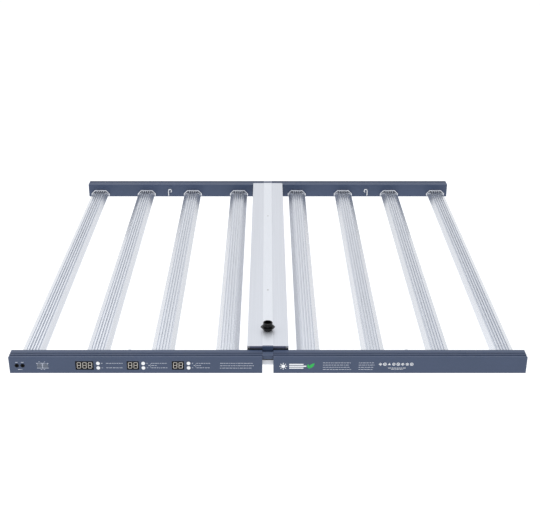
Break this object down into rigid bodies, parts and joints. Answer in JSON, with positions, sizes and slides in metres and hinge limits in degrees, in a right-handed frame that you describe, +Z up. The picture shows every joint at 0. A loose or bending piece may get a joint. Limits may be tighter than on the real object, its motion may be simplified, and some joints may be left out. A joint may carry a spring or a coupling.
{
  "type": "led grow light",
  "caption": "Folding LED grow light: a flat driver spine with a hinged wing of finned lamp bars on each side, rails with a control panel, and wire hooks to hang it.",
  "frame": {"origin": "on the ground under the middle of the light: centre of its lowest face", "axes": "+X to the right along the front rail, +Y from the front rail to the rear rail, +Z up; the lamps face down"},
  "size_m": [1.09, 1.0565, 0.065],
  "materials": {
    "spine_aluminium": "fine brushed, clear anodised",
    "strip_aluminium": "bright satin anodised",
    "bar_aluminium": "satin anodised extrusion",
    "collar_aluminium": "bright anodised",
    "blue_powder_coat": "slate blue satin powder coat",
    "black_nylon": "moulded matte",
    "black_rubber": "matte",
    "zinc_steel": "zinc plated",
    "bright_steel": "polished stainless wire",
    "bush_bronze": "sintered bronze",
    "contact_brass": "machined",
    "driver_case": "black anodised case",
    "circuit_board": "green solder mask",
    "lamp_board": "white solder mask on aluminium",
    "display_lens": "black faced digit module",
    "button_white": "satin moulded"
  },
  "bodies": {
    "spine": {"spine_housing": "spine_aluminium", "spine_base": "spine_aluminium", "base_screws": "zinc_steel", "cover_strip": "strip_aluminium", "strip_screws": "zinc_steel", "front_end_plate": "blue_powder_coat", "rear_end_plate": "blue_powder_coat", "front_end_cover": "black_nylon", "rear_end_cover": "black_nylon", "front_stop_block": "blue_powder_coat", "rear_stop_block": "blue_powder_coat", "hinge_bolts": "zinc_steel", "hinge_washers": "zinc_steel", "front_driver": "driver_case", "rear_driver": "driver_case", "junction_board": "circuit_board", "inlet_body": "black_nylon", "inlet_pins": "contact_brass", "inlet_gasket": "black_rubber", "inlet_nut": "black_nylon"},
    "left_wing": {"left_front_rail": "blue_powder_coat", "left_rear_rail": "blue_powder_coat", "left_rail_covers": "blue_powder_coat", "left_end_caps": "blue_powder_coat", "left_hinge_bushes": "bush_bronze", "left_bar_1": "bar_aluminium", "left_bar_2": "bar_aluminium", "left_bar_3": "bar_aluminium", "left_bar_4": "bar_aluminium", "left_lamp_boards": "lamp_board", "left_bar_collars": "collar_aluminium", "left_bar_screws": "zinc_steel", "left_hooks": "bright_steel", "left_hook_nuts": "bright_steel", "dimming_jacks": "black_nylon", "three_digit_display": "display_lens", "two_digit_displays": "display_lens", "control_board": "circuit_board", "board_spacers": "black_nylon", "tactile_switches": "black_nylon"},
    "right_wing": {"right_front_rail": "blue_powder_coat", "right_rear_rail": "blue_powder_coat", "right_rail_covers": "blue_powder_coat", "right_end_caps": "blue_powder_coat", "right_hinge_bushes": "bush_bronze", "right_bar_1": "bar_aluminium", "right_bar_2": "bar_aluminium", "right_bar_3": "bar_aluminium", "right_bar_4": "bar_aluminium", "right_lamp_boards": "lamp_board", "right_bar_collars": "collar_aluminium", "right_bar_screws": "zinc_steel", "right_hooks": "bright_steel", "right_hook_nuts": "bright_steel"},
    "first_plus_key": {"first_plus_button": "button_white"},
    "first_minus_key": {"first_minus_button": "button_white"},
    "second_plus_key": {"second_plus_button": "button_white"},
    "second_minus_key": {"second_minus_button": "button_white"},
    "third_plus_key": {"third_plus_button": "button_white"},
    "third_minus_key": {"third_minus_button": "button_white"}
  },
  "joints": [
    {"name": "left_fold", "type": "hinge", "parent": "spine", "child": "left_wing", "pos_m": [-0.023, 0, 0.0175], "axis": [0, -1, 0], "range_deg": [0, 90]},
    {"name": "right_fold", "type": "hinge", "parent": "spine", "child": "right_wing", "pos_m": [0.023, 0, 0.0175], "axis": [0, 1, 0], "range_deg": [0, 90]},
    {"name": "first_plus_press", "type": "slide", "parent": "left_wing", "child": "first_plus_key", "axis": [0, 1, 0], "range_m": [0, 0.0008], "stiffness_N_per_m": 400},
    {"name": "first_minus_press", "type": "slide", "parent": "left_wing", "child": "first_minus_key", "axis": [0, 1, 0], "range_m": [0, 0.0008], "stiffness_N_per_m": 400},
    {"name": "second_plus_press", "type": "slide", "parent": "left_wing", "child": "second_plus_key", "axis": [0, 1, 0], "range_m": [0, 0.0008], "stiffness_N_per_m": 400},
    {"name": "second_minus_press", "type": "slide", "parent": "left_wing", "child": "second_minus_key", "axis": [0, 1, 0], "range_m": [0, 0.0008], "stiffness_N_per_m": 400},
    {"name": "third_plus_press", "type": "slide", "parent": "left_wing", "child": "third_plus_key", "axis": [0, 1, 0], "range_m": [0, 0.0008], "stiffness_N_per_m": 400},
    {"name": "third_minus_press", "type": "slide", "parent": "left_wing", "child": "third_minus_key", "axis": [0, 1, 0], "range_m": [0, 0.0008], "stiffness_N_per_m": 400}
  ]
}
